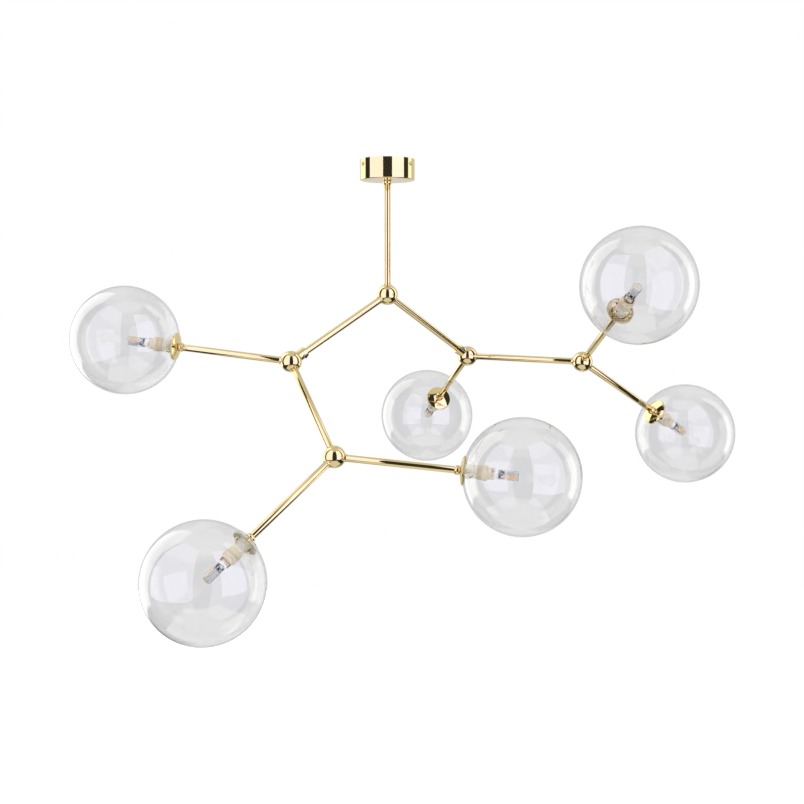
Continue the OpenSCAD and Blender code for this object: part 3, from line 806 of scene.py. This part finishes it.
def studio_world():
    """Plain studio. It is white where it is seen directly. Mirrored surfaces see the walls,
    the ground and a pale ceiling. Matt surfaces get even, soft light, a little more from above."""
    world = bpy.data.worlds.new("Studio")
    world.use_nodes = True
    bpy.context.scene.world = world
    tree = world.node_tree
    look = put(tree, "ShaderNodeTexCoord").outputs["Generated"]
    split = put(tree, "ShaderNodeSeparateXYZ", [("Vector", look)]).outputs
    turn = math_node(tree, "ARCTAN2", split["X"], math_node(tree, "MULTIPLY", split["Y"], -1.0))
    turn = math_node(tree, "ADD", math_node(tree, "DIVIDE", turn, 2 * math.pi), 0.5)
    rise = math_node(tree, "MULTIPLY", math_node(tree, "ARCSINE", split["Z"]), 180 / math.pi)
    above = remap(tree, rise, 0.0, 1.0, start=WALLS_TO - 2, end=WALLS_TO + 3)
    below = remap(tree, rise, 1.0, 0.0, start=WALLS_FROM - 2, end=WALLS_FROM + 2)
    view = blend(tree, above, by_heading(tree, turn, WALLS), (*(CEILING / BRIGHTEST,) * 3, 1))
    view = blend(tree, below, view, by_heading(tree, turn, GROUND))
    soft = remap(tree, rise, 1.2, 1.8, start=-40, end=40)

    def background(colour, strength):
        return put(tree, "ShaderNodeBackground", [("Color", colour), ("Strength", strength)]).outputs[0]

    paper = (1, 1, 1, 1)
    mirrored = mirrored_only(tree)
    lit = blend_shaders(tree, mirrored, background(paper, soft), background(view, BRIGHTEST))
    shown = blend_shaders(tree, seen_directly(tree, mirrored), lit, background(paper, 1.0))
    tree.links.new(shown, tree.nodes["World Output"].inputs["Surface"])


def stage_material(name, tone, glow, tint=(1, 1, 1)):
    """Matt studio paint with a faint grain, lifted by its own soft light."""
    mat, tree, shader = new_tree(name)
    grain = noise(tree, object_place(tree), scale=3, detail=4, rough=0.6)
    feed(tree, shader, Base_Color=ramp(tree, grain, [(0.3, (tone,) * 3), (0.7, (tone * 1.03,) * 3)]),
         Roughness=remap(tree, grain, 0.8, 0.9), Emission_Color=(*tint, 1), Emission_Strength=glow)
    return mat


def reflector_material(name, glow, tint=(1, 1, 1)):
    """Glowing cloth that shows in polished surfaces alone, and lets all other light through."""
    mat = stage_material(name, 0.02, glow, tint)
    mat.cycles.emission_sampling = "NONE"
    tree = mat.node_tree
    cloth = tree.nodes["Principled BSDF"].outputs[0]
    absent = put(tree, "ShaderNodeBsdfTransparent").outputs[0]
    tree.links.new(blend_shaders(tree, mirrored_only(tree), absent, cloth),
                   tree.nodes["Material Output"].inputs["Surface"])
    return mat


def stage_sheet(name, corners, material):
    """Flat sheet between four corners, in metres."""
    mesh = bpy.data.meshes.new(name)
    mesh.from_pydata(corners, [], [(0, 1, 2, 3)])
    mesh.materials.append(material)
    sheet = linked(name, mesh)
    return sheet


def level_sheet(name, low, high, z, material):
    """Level sheet between two opposite (x, y) corners."""
    (x0, y0), (x1, y1) = low, high
    return stage_sheet(name, [(x0, y0, z), (x1, y0, z), (x1, y1, z), (x0, y1, z)], material)


def softbox(name, left, right, tint):
    """Softbox that stands between two (x, y) points, from under the object to above it."""
    low, high = -0.98, 1.75
    stage_sheet(name, [(*left, low), (*right, low), (*right, high), (*left, high)],
                reflector_material(name, 1.0, tint))


studio_world()
floor = level_sheet("floor", (-8, -8), (8, 8), -2.5, stage_material("PaleFloor", 0.85, 0.35))
floor.visible_glossy = floor.visible_transmission = False
level_sheet("reflector_card", (-1.2, -2.2), (1.1, 0.13), -1.85,
            reflector_material("ReflectorCard", 0.78))
softbox("left_softbox", (-1.38, -0.34), (-0.41, -1.34), (1.27, 1.27, 1.80))
softbox("right_softbox", (0.49, -1.31), (1.45, -0.44), (1.36, 1.35, 2.02))


def add_camera(place, tilt, lens, shift):
    """Camera in front of the object that looks along +Y. tilt is in degrees from straight down."""
    camera = linked("Camera", bpy.data.cameras.new("Camera"))
    camera.data.sensor_width = 36
    camera.data.lens = lens
    camera.data.shift_x, camera.data.shift_y = shift
    camera.data.clip_end = 50
    camera.location = place
    camera.rotation_euler = (math.radians(tilt), 0, 0)
    bpy.context.scene.camera = camera


add_camera((0.0366, -2.3804, -0.2912), tilt=86.176, lens=57.71, shift=(-0.00669, 0.00427))
bpy.context.scene.view_settings.view_transform = "Standard"

bpy.context.view_layer.update()
